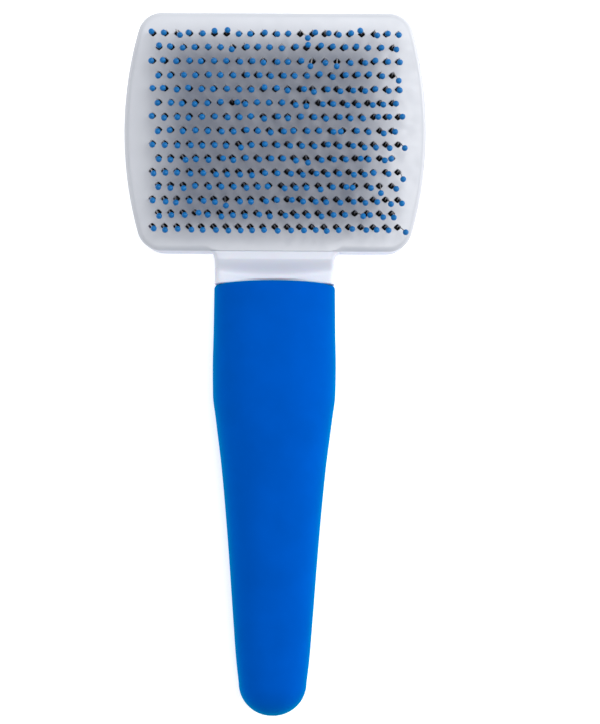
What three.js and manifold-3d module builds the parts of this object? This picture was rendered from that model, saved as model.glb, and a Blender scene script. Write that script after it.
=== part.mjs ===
// A self-cleaning slicker brush, lying on its back with its pins up.
// Millimetres. X is across the head, Y runs from the grip to the head, and Z is up, along the pins.
// The pins stand on a carriage inside the head. The carriage slides back on four posts, so the pins
// draw in through the face plate. A push plate in the back pushes them out again, and a latch bolt
// in the neck, worked by the release button, holds them out.
import * as THREE from 'three';
import { mergeGeometries, mergeVertices } from 'three/addons/utils/BufferGeometryUtils.js';
import Module from 'manifold-3d';

const wasm = await Module();
wasm.setup();

// Driving dimensions
const length = 201.8;
const headLength = 67.9;
const headHalfWidth = 43.05;
const headSideRadius = 107;
const headCornerRadius = 7;
const rearEdgeRadius = 4;
const faceZ = 20;
const faceThickness = 2.2;
const webThickness = 1.2;
const wall = 2.2;
const gap = 0.3;
const splitZ = 10;
const neckHalfWidth = 17.1;
const neckBackZ = 5.5;
const neckFrontZ = 18.3;
const gripStartY = 24.2;
const sleeveThickness = 2.7;
const coreWall = 2.2;
const coreStartY = 27;
const coreEndY = -90;
const pinRows = 15;
const pinsInOddRow = 21;
const pinPitch = 3.49;
const rowPitch = 3.922;
const pinFieldY = 67.33;
const pinReach = 11;
const wireRadius = 0.28;
const ballRadius = 0.9;
const holeHalfWidth = 1.15;
const holeHalfLength = 1;
const pinStroke = 7;
const latchStroke = 2;

// Places worked out from them
const headTopY = length / 2;
const headBottomY = headTopY - headLength;
const headMiddleY = headTopY - headLength / 2;
const faceUnderZ = faceZ - faceThickness;
const shellTopZ = faceUnderZ - gap;
const gripEndY = -length / 2;
const cavityTopY = headTopY - wall;
const cavityBottomY = headBottomY + wall;

const materials = {
  whitePlastic: new THREE.MeshStandardMaterial({ color: 0xe6e8f2, roughness: 0.4, metalness: 0 }),
  facePlastic: new THREE.MeshStandardMaterial({ color: 0xdfe2ee, roughness: 0.35, metalness: 0 }),
  greyPlastic: new THREE.MeshStandardMaterial({ color: 0xc4c7cf, roughness: 0.45, metalness: 0 }),
  bluePlastic: new THREE.MeshStandardMaterial({ color: 0x0f62bd, roughness: 0.35, metalness: 0 }),
  blueRubber: new THREE.MeshStandardMaterial({ color: 0x0057c0, roughness: 0.7, metalness: 0 }),
  pinPad: new THREE.MeshStandardMaterial({ color: 0x2a6fc0, roughness: 0.5, metalness: 0.1 }),
  steel: new THREE.MeshStandardMaterial({ color: 0xb9bcc2, roughness: 0.3, metalness: 1 }),
};

const brush = new THREE.Group();

// Solids: three.js geometry in, manifold solid out, and back again

function solid(geometry) {
  const bare = geometry.clone();
  bare.deleteAttribute('normal');
  bare.deleteAttribute('uv');
  const merged = mergeVertices(bare, 1e-4);
  const vertProperties = new Float32Array(merged.attributes.position.array);
  const triVerts = new Uint32Array(merged.index.array);
  return new wasm.Manifold(new wasm.Mesh({ numProp: 3, vertProperties, triVerts }));
}

function addPart(name, shape, material) {
  const mesh = shape.getMesh();
  const geometry = new THREE.BufferGeometry();
  geometry.setAttribute('position', new THREE.BufferAttribute(new Float32Array(mesh.vertProperties), 3));
  geometry.setIndex(new THREE.BufferAttribute(new Uint32Array(mesh.triVerts), 1));
  geometry.computeVertexNormals();
  const part = new THREE.Mesh(geometry, material);
  part.name = name;
  brush.add(part);
}

// A box from its lowest to its highest corner
function block(low, high) {
  const size = high.map((value, axis) => value - low[axis]);
  const geometry = new THREE.BoxGeometry(...size);
  geometry.translate(...low.map((value, axis) => value + size[axis] / 2));
  return solid(geometry);
}

// An upright round bar
function bar(x, y, radius, lowZ, highZ, sides = 8) {
  const geometry = new THREE.CylinderGeometry(radius, radius, highZ - lowZ, sides);
  geometry.rotateX(Math.PI / 2);
  geometry.translate(x, y, (lowZ + highZ) / 2);
  return solid(geometry);
}

// A solid through rings of equal point count, closed at both ends. Every ring is convex and runs
// anticlockwise as seen from the last ring.
function loft(rings) {
  const count = rings[0].length;
  const positions = rings.flat().flatMap((point) => [point.x, point.y, point.z]);
  const index = [];
  for (let ring = 0; ring < rings.length - 1; ring += 1) {
    for (let i = 0; i < count; i += 1) {
      const next = (i + 1) % count;
      const a = ring * count + i;
      const b = ring * count + next;
      index.push(a, b, b + count, a, b + count, a + count);
    }
  }
  const last = (rings.length - 1) * count;
  for (let i = 1; i < count - 1; i += 1) {
    index.push(0, i + 1, i, last, last + i, last + i + 1);
  }
  const geometry = new THREE.BufferGeometry();
  geometry.setAttribute('position', new THREE.Float32BufferAttribute(positions, 3));
  geometry.setIndex(index);
  return solid(geometry);
}

// A profile in the YZ plane, as [y, z] points, made halfWidth thick on both sides of X = 0
function acrossX(outline, halfWidth) {
  const geometry = new THREE.ExtrudeGeometry(outline, {
    depth: 2 * halfWidth,
    bevelEnabled: false,
    curveSegments: 6,
  });
  geometry.translate(0, 0, -halfWidth);
  const toYZ = new THREE.Matrix4().set(0, 0, 1, 0, 1, 0, 0, 0, 0, 1, 0, 0, 0, 0, 0, 1);
  geometry.applyMatrix4(toYZ);
  return solid(geometry);
}

function polygon(points) {
  return new THREE.Shape(points.map(([x, y]) => new THREE.Vector2(x, y)));
}

// The head outline: bowed sides, straight ends and round corners

function headRing(inset, z) {
  const sideCentreX = headHalfWidth - headSideRadius;
  const cornerY = headLength / 2 - headCornerRadius;
  const reach = headSideRadius - headCornerRadius;
  const cornerX = sideCentreX + Math.sqrt(reach ** 2 - cornerY ** 2);
  const sideAngle = Math.asin(cornerY / reach);
  const points = [];
  const arc = (centreX, centreY, radius, from, to, steps) => {
    for (let i = 0; i <= steps; i += 1) {
      const angle = from + ((to - from) * i) / steps;
      const x = centreX + radius * Math.cos(angle);
      const y = headMiddleY + centreY + radius * Math.sin(angle);
      points.push(new THREE.Vector3(x, y, z));
    }
  };
  const corner = headCornerRadius - inset;
  const side = headSideRadius - inset;
  const halfTurn = Math.PI;
  arc(sideCentreX, 0, side, -sideAngle * 0.8, sideAngle * 0.8, 4);
  arc(cornerX, cornerY, corner, sideAngle, halfTurn / 2, 4);
  arc(-cornerX, cornerY, corner, halfTurn / 2, halfTurn - sideAngle, 4);
  arc(-sideCentreX, 0, side, halfTurn - sideAngle * 0.8, halfTurn + sideAngle * 0.8, 4);
  arc(-cornerX, -cornerY, corner, halfTurn + sideAngle, 1.5 * halfTurn, 4);
  arc(cornerX, -cornerY, corner, -halfTurn / 2, -sideAngle, 4);
  return points;
}

function headSolid(levels) {
  return loft(levels.map(([z, inset]) => headRing(inset, z)));
}

// The grip: rounded sections along Y, with half width, lowest and highest Z

const gripStations = [
  [24.2, 16.4, 3.7, 22.4],
  [23.8, 17.1, 2.9, 23.2],
  [22.8, 17.4, 2.4, 23.7],
  [10, 17.55, 0.8, 25.1],
  [0, 17.75, 0.1, 25.9],
  [-8, 17.65, 0, 26],
  [-15, 16.8, 0.3, 25.7],
  [-30, 14.95, 1.3, 24.7],
  [-50, 13.15, 2.4, 23.6],
  [-75, 11.3, 3.3, 22.7],
  [-84, 10.6, 3.7, 22.3],
  [-91, 9.8, 4.1, 21.9],
];
const gripEndRings = [0.3, 0.55, 0.76, 0.91, 0.98];
const gripSides = 22;
const coreSides = 14;
const gripSquareness = 2.3;

function gripRing(y, halfWidth, lowZ, highZ, sides = gripSides) {
  const points = [];
  const soft = (value) => Math.sign(value) * Math.abs(value) ** (2 / gripSquareness);
  for (let i = 0; i < sides; i += 1) {
    const angle = (2 * Math.PI * i) / sides;
    const x = halfWidth * soft(Math.cos(angle));
    const z = (lowZ + highZ) / 2 - ((highZ - lowZ) / 2) * soft(Math.sin(angle));
    points.push(new THREE.Vector3(x, y, z));
  }
  return points;
}

function gripSolid() {
  const rings = gripStations.map((station) => gripRing(...station));
  const [startY, halfWidth, lowZ, highZ] = gripStations.at(-1);
  const middleZ = (lowZ + highZ) / 2;
  for (const share of gripEndRings) {
    const size = Math.sqrt(1 - share ** 2);
    const halfHeight = ((highZ - lowZ) / 2) * size;
    const y = startY + (gripEndY - startY) * share;
    rings.push(gripRing(y, halfWidth * size, middleZ - halfHeight, middleZ + halfHeight));
  }
  const [, lastWidth] = gripStations.at(-1);
  rings.push(gripRing(gripEndY, lastWidth * 0.12, middleZ - 1, middleZ + 1));
  return loft(rings.reverse());
}

// The core of the grip, inset from its outside, and lower where it runs into the neck
const coreShoulderY = 18;

function coreRing(y, inset) {
  const sleevedY = Math.min(y, coreShoulderY);
  const after = gripStations.findIndex(([stationY]) => stationY <= sleevedY);
  const [y0, ...before] = gripStations[after - 1];
  const [y1, ...behind] = gripStations[after];
  const share = (sleevedY - y0) / (y1 - y0);
  const [halfWidth, lowZ, highZ] = before.map((value, i) => value + (behind[i] - value) * share);
  const risePerY = 0.6;
  const neckTop = neckFrontZ + sleeveThickness - inset + risePerY * (coreShoulderY - sleevedY);
  const backStep = y > coreShoulderY ? 1 : 0;
  const topZ = Math.min(highZ - inset, neckTop);
  return gripRing(y, halfWidth - inset, lowZ + backStep + inset, topZ, coreSides);
}

function coreSolid(inset, startY, endY) {
  const shortest = 3;
  const between = [coreShoulderY, ...gripStations.map(([y]) => y).filter((y) => y < coreShoulderY)];
  const places = [startY, ...between.filter((y) => y < startY && y > endY + shortest), endY];
  return loft(places.map((y) => coreRing(y, inset)).reverse());
}

// Pins and their holes

function pinPlaces(row) {
  const odd = row % 2 === 0;
  const count = odd ? pinsInOddRow : pinsInOddRow - 1;
  const y = pinFieldY + (row - (pinRows - 1) / 2) * rowPitch;
  return Array.from({ length: count }, (_, i) => [(i - (count - 1) / 2) * pinPitch, y]);
}

function copies(geometry, places) {
  return solid(mergeGeometries(places.map(([x, y]) => geometry.clone().translate(x, y, 0))));
}

const padLowZ = 14.1;
const padHighZ = faceZ - webThickness - 0.4;
const padHalfLength = 35.4;
const padHalfWidth = 1.8;
const padFieldHalfLength = ((pinRows - 1) / 2) * rowPitch + padHalfWidth;

function makePinRows() {
  const tipZ = faceZ + pinReach;
  const ballZ = tipZ - ballRadius;
  const profile = [
    [0, padLowZ + 1],
    [wireRadius, padLowZ + 1],
    [wireRadius, ballZ - 0.8],
    [ballRadius, ballZ],
    [0, tipZ],
  ];
  const pin = new THREE.LatheGeometry(profile.map(([r, z]) => new THREE.Vector2(r, z)), 3);
  pin.rotateX(Math.PI / 2);
  for (let row = 0; row < pinRows; row += 1) {
    const places = pinPlaces(row);
    const y = places[0][1];
    const padLow = [-padHalfLength, y - padHalfWidth, padLowZ];
    const padHigh = [padHalfLength, y + padHalfWidth, padHighZ];
    const pad = block(padLow, padHigh);
    const number = String(row + 1).padStart(2, '0');
    addPart(`pin_row_${number}`, pad.add(copies(pin, places)), materials.pinPad);
  }
}

// The face plate: a thin web over the pad, with a diamond hole for each pin, two locating lips and
// four post sockets

const postX = 38;
const postHalfSpacing = 10;
const fourPlaces = (x, y) => [[-x, -y], [-x, y], [x, -y], [x, y]].map(([dx, dy]) => [dx, headMiddleY + dy]);
const postPlaces = fourPlaces(postX, postHalfSpacing);
const postRadius = 1.2;

function makeFacePlate() {
  const lipDepth = 1.5;
  const lipThickness = 1.2;
  const lipHalfWidth = 25;
  const socketDepth = 1;
  let plate = headSolid([
    [faceUnderZ, 0],
    [faceZ - 0.8, 0],
    [faceZ - 0.25, 0.25],
    [faceZ, 0.9],
  ]);
  const recessMargin = 0.45;
  const recessHalfWidth = padHalfLength + recessMargin;
  const recessHalfLength = padFieldHalfLength + recessMargin;
  plate = plate.subtract(block(
    [-recessHalfWidth, pinFieldY - recessHalfLength, faceUnderZ - 1],
    [recessHalfWidth, pinFieldY + recessHalfLength, faceZ - webThickness],
  ));
  const lipLowZ = faceUnderZ - lipDepth;
  const lipRootZ = faceZ - webThickness / 2;
  for (const lowY of [cavityTopY - gap - lipThickness, cavityBottomY + gap]) {
    const lip = block([-lipHalfWidth, lowY, lipLowZ], [lipHalfWidth, lowY + lipThickness, lipRootZ]);
    plate = plate.add(lip);
  }
  const hole = new THREE.CylinderGeometry(1, 1, 2 * faceThickness, 4);
  hole.rotateX(Math.PI / 2);
  hole.scale(holeHalfWidth, holeHalfLength, 1);
  hole.translate(0, 0, faceZ - faceThickness / 2);
  const places = Array.from({ length: pinRows }, (_, row) => pinPlaces(row)).flat();
  plate = plate.subtract(copies(hole, places));
  for (const [x, y] of postPlaces) {
    plate = plate.subtract(bar(x, y, postRadius + gap, faceUnderZ - 1, faceUnderZ + socketDepth));
  }
  addPart('face_plate', plate, materials.facePlastic);
}

// Fasteners: a round head, with the shank pointing up for direction 1 and down for direction -1

function screw(x, y, { headZ, shankEndZ, shankRadius, headRadius }) {
  const direction = Math.sign(shankEndZ - headZ);
  const headThickness = 0.45 * headRadius;
  const neckZ = headZ + direction * headThickness;
  const tipZ = shankEndZ - direction * shankRadius;
  const slotWidth = 0.3 * headRadius;
  const slotDepth = 0.5 * headThickness;
  const profile = [
    [0, headZ],
    [0.85 * headRadius, headZ],
    [headRadius, headZ + direction * 0.3 * headThickness],
    [shankRadius, neckZ],
    [shankRadius, tipZ],
    [0, shankEndZ],
  ];
  const upright = direction > 0 ? profile : profile.reverse();
  const geometry = new THREE.LatheGeometry(upright.map(([r, z]) => new THREE.Vector2(r, z)), 8);
  geometry.rotateX(Math.PI / 2);
  geometry.translate(x, y, 0);
  const [slotLowZ, slotHighZ] = [headZ - direction, headZ + direction * slotDepth].sort((a, b) => a - b);
  const slotLow = [x - slotWidth / 2, y - 2 * headRadius, slotLowZ];
  const slotHigh = [x + slotWidth / 2, y + 2 * headRadius, slotHighZ];
  return solid(geometry).subtract(block(slotLow, slotHigh));
}

// Coil springs, along Z or along Y

class Helix extends THREE.Curve {
  constructor(radius, turns, height) {
    super();
    Object.assign(this, { radius, turns, height });
  }

  getPoint(t, target = new THREE.Vector3()) {
    const angle = 2 * Math.PI * this.turns * t;
    return target.set(this.radius * Math.cos(angle), this.radius * Math.sin(angle), this.height * t);
  }
}

function spring(radius, wire, turns, height) {
  const section = polygon([0, 1, 2].map((i) => [
    wire * Math.cos((2 * Math.PI * i) / 3),
    wire * Math.sin((2 * Math.PI * i) / 3),
  ]));
  const path = new Helix(radius, turns, height - 2 * wire);
  const steps = turns * 8;
  const geometry = new THREE.ExtrudeGeometry(section, { extrudePath: path, steps, bevelEnabled: false });
  geometry.translate(0, 0, wire);
  return geometry;
}

// The housing: head, neck and grip core as one form, cut into a rear and a front shell

const windowHalfWidth = 30;
const windowHalfLength = 21;
const floorZ = 2;
const caseScrewX = 38.5;
const caseScrew = { headZ: 0.3, shankEndZ: 15, shankRadius: 0.9, headRadius: 1.8 };
const neckScrewX = 12.8;
const neckScrewY = 28.8;
const neckScrew = { headZ: neckBackZ + 0.3, shankEndZ: 14, shankRadius: 1.1, headRadius: 2.3 };
const handleScrewPlaces = [[0, -4], [0, -60]];
const handleScrew = { headZ: 6.3, shankEndZ: 17.8, shankRadius: 1.1, headRadius: 2.3 };
const screwClearance = 0.3;
const headClearance = 0.4;
const counterboreDepth = 1.6;
const boltHalfWidth = 6;
const boltLowZ = 10.7;
const boltHighZ = 13.7;
const boltSlotStartY = 20;
const buttonHalfWidth = 7.5;
const buttonLowY = 25.7;
const buttonHighY = 32;
const buttonLip = 1;
const neckBackWall = 1.8;

function neckSolid() {
  const shoulderY = 30.8;
  const scoopEndY = 26;
  const startY = gripStartY + gap;
  const outline = new THREE.Shape();
  outline.moveTo(startY, neckBackZ);
  outline.lineTo(headBottomY + 1, neckBackZ);
  outline.lineTo(headBottomY + 1, shellTopZ);
  outline.lineTo(headBottomY - gap, shellTopZ);
  outline.lineTo(headBottomY - gap, faceZ);
  outline.lineTo(shoulderY, faceZ);
  outline.quadraticCurveTo(shoulderY - 1.6, neckFrontZ, scoopEndY, neckFrontZ);
  outline.lineTo(startY, neckFrontZ + gap);
  return acrossX(outline, neckHalfWidth);
}

function rearEdgeLevels() {
  const steps = 4;
  const levels = [];
  for (let i = 0; i <= steps; i += 1) {
    const angle = (Math.PI / 2) * (i / steps);
    levels.push([rearEdgeRadius * (1 - Math.cos(angle)), rearEdgeRadius * (1 - Math.sin(angle))]);
  }
  return levels;
}

function makeShells() {
  const head = headSolid([...rearEdgeLevels(), [shellTopZ, 0]]);
  const core = coreSolid(sleeveThickness + gap, coreStartY, coreEndY);
  let housing = head.add(neckSolid()).add(core);
  housing = housing.subtract(headSolid([[floorZ, wall + 1], [floorZ + 1, wall], [faceZ, wall]]));
  housing = housing.subtract(coreSolid(sleeveThickness + gap + coreWall, 15, coreEndY + 5));

  const windowLow = [-windowHalfWidth, headMiddleY - windowHalfLength, -1];
  const windowHigh = [windowHalfWidth, headMiddleY + windowHalfLength, floorZ + 1];
  housing = housing.subtract(block(windowLow, windowHigh));

  // Post sockets and case screw bosses stand on the floor, against the bowed sides
  const socketRadius = 2.4;
  const socketHeight = 2;
  const caseBossRadius = 2.6;
  const handleBossRadius = 3.2;
  for (const [x, y] of postPlaces) {
    const socket = bar(x, y, socketRadius, floorZ - 1, floorZ + socketHeight, 10);
    housing = housing.add(socket.subtract(bar(x, y, postRadius + gap, floorZ, faceZ, 10)));
  }
  const screwHole = (x, y, { headZ, shankEndZ, shankRadius, headRadius }) => {
    const shaft = bar(x, y, shankRadius + screwClearance, -1, shankEndZ + 2 * screwClearance);
    const counterbore = bar(x, y, headRadius + headClearance, -1, headZ + counterboreDepth, 10);
    return shaft.add(counterbore);
  };
  for (const side of [-1, 1]) {
    const x = side * caseScrewX;
    housing = housing.add(bar(x, headMiddleY, caseBossRadius, floorZ - 1, shellTopZ));
    housing = housing.subtract(screwHole(x, headMiddleY, caseScrew));
    housing = housing.subtract(screwHole(side * neckScrewX, neckScrewY, neckScrew));
  }
  for (const [x, y] of handleScrewPlaces) {
    housing = housing.add(bar(x, y, handleBossRadius, 0, 2 * faceZ).intersect(core));
    housing = housing.subtract(screwHole(x, y, handleScrew));
  }

  // The latch bolt's slot, which opens into the head, and the button's way in from the back
  const slotSide = boltHalfWidth + gap;
  const slotLow = [-slotSide, boltSlotStartY, boltLowZ - gap];
  const slotHigh = [slotSide, cavityBottomY + 1, boltHighZ + gap];
  housing = housing.subtract(block(slotLow, slotHigh));
  const lipSide = buttonHalfWidth + buttonLip + gap;
  const chamberLow = [-lipSide, buttonLowY - buttonLip - gap, neckBackZ + neckBackWall];
  const chamberHigh = [lipSide, buttonHighY + buttonLip + gap, boltLowZ];
  housing = housing.subtract(block(chamberLow, chamberHigh));
  const doorLow = [-buttonHalfWidth - gap, buttonLowY - gap, 0];
  const doorHigh = [buttonHalfWidth + gap, buttonHighY + gap, neckBackZ + neckBackWall + 1];
  housing = housing.subtract(block(doorLow, doorHigh));

  const far = 2 * length;
  const rear = housing.intersect(block([-far, -far, -far], [far, far, splitZ - gap / 2]));
  const front = housing.intersect(block([-far, -far, splitZ + gap / 2], [far, far, far]));
  addPart('rear_shell', rear, materials.whitePlastic);
  addPart('front_shell', front, materials.whitePlastic);
}

function makeCaseFasteners() {
  for (const [i, side] of [-1, 1].entries()) {
    addPart(`head_screw_${i + 1}`, screw(side * caseScrewX, headMiddleY, caseScrew), materials.steel);
    addPart(`neck_screw_${i + 1}`, screw(side * neckScrewX, neckScrewY, neckScrew), materials.steel);
  }
  for (const [i, [x, y]] of handleScrewPlaces.entries()) {
    addPart(`handle_screw_${i + 1}`, screw(x, y, handleScrew), materials.steel);
  }
}

function makeGripSleeve() {
  const pocket = coreSolid(sleeveThickness, coreStartY, coreEndY - gap);
  addPart('grip_sleeve', gripSolid().subtract(pocket), materials.blueRubber);
}

// The carriage: tray and push plate, held together by four screws

const trayLowZ = 12.3;
const trayHighZ = 13.8;
const pushPlateLowZ = 7.4;
const pushPlateHighZ = trayLowZ - gap;
const pushPlateHalfWidth = windowHalfWidth - 0.5;
const pushPlateHalfLength = windowHalfLength - 0.5;
const trayScrewPlaces = fourPlaces(24, 15);
const trayScrew = { headZ: trayHighZ - 0.05, shankEndZ: 9, shankRadius: 0.9, headRadius: 1.9 };

function makeTray() {
  const rimHighZ = 15.5;
  const rimHalfWidth = 32;
  const rimThickness = 0.9;
  const lowY = pinFieldY - padFieldHalfLength - gap;
  const highY = pinFieldY + padFieldHalfLength + gap;
  const cornerCut = 1.6;
  const halfWidth = 35.6;
  const outline = polygon([
    [-halfWidth, lowY + cornerCut],
    [-halfWidth + cornerCut, lowY],
    [halfWidth - cornerCut, lowY],
    [halfWidth, lowY + cornerCut],
    [halfWidth, highY - cornerCut],
    [halfWidth - cornerCut, highY],
    [-halfWidth + cornerCut, highY],
    [-halfWidth, highY - cornerCut],
  ]);
  const floor = new THREE.ExtrudeGeometry(outline, { depth: trayHighZ - trayLowZ, bevelEnabled: false });
  floor.translate(0, 0, trayLowZ);
  let tray = solid(floor);
  tray = tray.add(block([-rimHalfWidth, lowY - rimThickness, trayLowZ], [rimHalfWidth, lowY, rimHighZ]));
  tray = tray.add(block([-rimHalfWidth, highY, trayLowZ], [rimHalfWidth, highY + rimThickness, rimHighZ]));

  // The ears run on the posts
  const earLength = 7;
  for (const [x, y] of postPlaces) {
    const inner = Math.sign(x) * (halfWidth - 1);
    const outer = Math.sign(x) * (postX + 1);
    const earLow = [Math.min(inner, outer), y - earLength / 2, trayLowZ];
    const earHigh = [Math.max(inner, outer), y + earLength / 2, trayHighZ];
    tray = tray.add(block(earLow, earHigh)).add(bar(x, y, 2.1, trayLowZ, trayHighZ));
    tray = tray.subtract(bar(x, y, postRadius + gap, 0, faceZ));
  }
  const { shankRadius, headRadius } = trayScrew;
  for (const [x, y] of trayScrewPlaces) {
    tray = tray.subtract(bar(x, y, shankRadius + headClearance, 0, faceZ));
    tray = tray.subtract(bar(x, y, headRadius + headClearance, trayHighZ - 1, faceZ));
  }

  // The latch bolt holds the carriage forward by this tab
  const tabHalfWidth = 5.5;
  const tabLow = [-tabHalfWidth, cavityBottomY + 0.4, trayLowZ];
  const tabHigh = [tabHalfWidth, lowY, trayHighZ + 1.2];
  tray = tray.add(block(tabLow, tabHigh));
  addPart('pin_tray', tray, materials.greyPlastic);
}

function makePushPlate() {
  const skin = 2;
  const x = pushPlateHalfWidth;
  const lowY = headMiddleY - pushPlateHalfLength;
  const highY = headMiddleY + pushPlateHalfLength;
  let plate = block([-x, lowY, pushPlateLowZ], [x, highY, pushPlateHighZ]);
  const pocketLow = [-x + skin, lowY + skin, pushPlateLowZ + skin];
  const pocketHigh = [x - skin, highY - skin, faceZ];
  plate = plate.subtract(block(pocketLow, pocketHigh));
  const bossRadius = 3;
  for (const [bossX, bossY] of trayScrewPlaces) {
    plate = plate.add(bar(bossX, bossY, bossRadius, pushPlateLowZ + skin / 2, pushPlateHighZ));
    const hole = bar(bossX, bossY, trayScrew.shankRadius + headClearance, trayScrew.shankEndZ - gap, faceZ);
    plate = plate.subtract(hole);
  }
  addPart('push_plate', plate, materials.bluePlastic);
}

function makeTrayFasteners() {
  for (const [i, [x, y]] of trayScrewPlaces.entries()) {
    addPart(`tray_screw_${i + 1}`, screw(x, y, trayScrew), materials.steel);
  }
}

// Guide posts, with the return springs that draw the carriage back

const returnSpring = { radius: 1.9, wire: 0.2, turns: 4 };
const latchSpring = { radius: 1.3, wire: 0.2, turns: 5 };

function makePostsAndSprings() {
  const springLowZ = trayHighZ + gap;
  const springHighZ = faceUnderZ - gap;
  const { radius, wire, turns } = returnSpring;
  for (const [i, [x, y]] of postPlaces.entries()) {
    addPart(`guide_post_${i + 1}`, bar(x, y, postRadius, floorZ + gap, faceUnderZ + 0.7), materials.steel);
    const coil = spring(radius, wire, turns, springHighZ - springLowZ);
    coil.translate(x, y, springLowZ);
    addPart(`return_spring_${i + 1}`, solid(coil), materials.steel);
  }
}

// The latch: pressing the button towards the face drives its wedge up, which draws the bolt back

function makeLatch() {
  const wedgeHalfWidth = 2.8;
  const wedgeLowY = 27.4;
  const wedgeHighY = 30.4;
  const capLowZ = neckBackZ - latchStroke;
  const lipLowZ = neckBackZ + neckBackWall + gap;
  const lipHighZ = lipLowZ + 0.8;
  const wedgeBaseZ = lipHighZ + 0.2;
  let button = block(
    [-buttonHalfWidth, buttonLowY, capLowZ],
    [buttonHalfWidth, buttonHighY, lipHighZ],
  );
  button = button.add(block(
    [-buttonHalfWidth - buttonLip, buttonLowY - buttonLip, lipLowZ],
    [buttonHalfWidth + buttonLip, buttonHighY + buttonLip, lipHighZ],
  ));
  const wedge = polygon([
    [wedgeLowY, lipLowZ],
    [wedgeHighY, lipLowZ],
    [wedgeHighY, wedgeBaseZ + wedgeHighY - wedgeLowY],
    [wedgeLowY, wedgeBaseZ],
  ]);
  button = button.add(acrossX(wedge, wedgeHalfWidth));
  addPart('release_button', button, materials.bluePlastic);

  // The bolt is a frame around the wedge. Its sloping end rides on the wedge.
  const boltStartY = 25.2;
  const boltTipY = cavityBottomY - 0.2;
  const slopeY = wedgeLowY - wedgeBaseZ - 1.5 * gap;
  let bolt = block([-boltHalfWidth, boltStartY, boltLowZ], [boltHalfWidth, boltTipY, boltHighZ]);
  const opening = polygon([
    [boltLowZ - 1 + slopeY, boltLowZ - 1],
    [wedgeHighY + latchStroke + 0.5, boltLowZ - 1],
    [wedgeHighY + latchStroke + 0.5, boltHighZ + 1],
    [boltHighZ + slopeY, boltHighZ + 1],
    [boltHighZ + slopeY, boltHighZ],
  ]);
  bolt = bolt.subtract(acrossX(opening, wedgeHalfWidth + gap));
  addPart('latch_bolt', bolt, materials.greyPlastic);

  const { radius, wire, turns } = latchSpring;
  const coil = spring(radius, wire, turns, boltStartY - boltSlotStartY - 2 * gap);
  coil.rotateX(-Math.PI / 2);
  coil.translate(0, boltSlotStartY + gap, (boltLowZ + boltHighZ) / 2);
  addPart('latch_spring', solid(coil), materials.steel);
}

makeShells();
makeFacePlate();
makeGripSleeve();
makeCaseFasteners();
makeTray();
makePushPlate();
makeTrayFasteners();
makePinRows();
makePostsAndSprings();
makeLatch();

export default brush;
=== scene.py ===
import math

import bmesh
import bpy
import numpy as np
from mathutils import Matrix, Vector
from mathutils.geometry import delaunay_2d_cdt


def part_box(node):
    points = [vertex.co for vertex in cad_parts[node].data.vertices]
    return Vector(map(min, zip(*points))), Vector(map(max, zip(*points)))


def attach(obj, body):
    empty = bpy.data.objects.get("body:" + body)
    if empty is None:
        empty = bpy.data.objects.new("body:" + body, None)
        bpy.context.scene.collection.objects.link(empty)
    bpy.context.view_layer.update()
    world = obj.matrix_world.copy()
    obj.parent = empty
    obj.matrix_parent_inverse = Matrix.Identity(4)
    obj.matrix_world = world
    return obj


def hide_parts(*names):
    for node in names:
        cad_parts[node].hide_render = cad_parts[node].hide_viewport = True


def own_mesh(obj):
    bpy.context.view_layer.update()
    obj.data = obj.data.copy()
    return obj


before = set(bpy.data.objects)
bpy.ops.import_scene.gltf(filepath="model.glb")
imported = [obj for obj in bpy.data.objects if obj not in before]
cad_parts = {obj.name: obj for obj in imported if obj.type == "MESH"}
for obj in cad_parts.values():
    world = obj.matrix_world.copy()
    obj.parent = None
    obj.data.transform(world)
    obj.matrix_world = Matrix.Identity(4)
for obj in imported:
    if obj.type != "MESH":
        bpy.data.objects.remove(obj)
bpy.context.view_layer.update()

# A self-cleaning slicker brush on its back. Shapes are worked out in millimetres, in the CAD frame, and
# solid() turns them into metres. Places come from the CAD nodes' boxes.
MM = 0.001
GAP = 0.3


def box_mm(node):
    low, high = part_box(node)
    return np.array(low) / MM, np.array(high) / MM


FACE_LOW, FACE_HIGH = box_mm("face_plate")
GRIP_LOW, GRIP_HIGH = box_mm("grip_sleeve")
PUSH_LOW, PUSH_HIGH = box_mm("push_plate")
BUTTON_LOW, BUTTON_HIGH = box_mm("release_button")
BOLT_LOW, BOLT_HIGH = box_mm("latch_bolt")
PIN_LOW, PIN_HIGH = box_mm("pin_row_01")
LAST_PIN_LOW, LAST_PIN_HIGH = box_mm("pin_row_15")
REAR_TOP_Z = box_mm("rear_shell")[1][2]
FRONT_BOTTOM_Z = box_mm("front_shell")[0][2]

# The head: a face plate over a front and a rear shell
FACE_Z = FACE_HIGH[2]
FACE_THICKNESS = 2.2
WEB_THICKNESS = 1.2
FACE_UNDER_Z = FACE_Z - FACE_THICKNESS
SHELL_TOP_Z = FACE_UNDER_Z - GAP
HEAD_LOW_Y = FACE_LOW[1]
HEAD_MID_Y = (FACE_LOW[1] + FACE_HIGH[1]) / 2
WALL = 2.2
FLOOR_Z = 2.0
SEAM_CHAMFER = 0.22
POST_RADIUS = 1.2
POST_X = 38.0
POST_HALF_SPACING = 10.0
POST_PLACES = [(sx * POST_X, HEAD_MID_Y + sy * POST_HALF_SPACING) for sx in (-1, 1) for sy in (-1, 1)]
CASE_SCREW_X = 38.5

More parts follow.
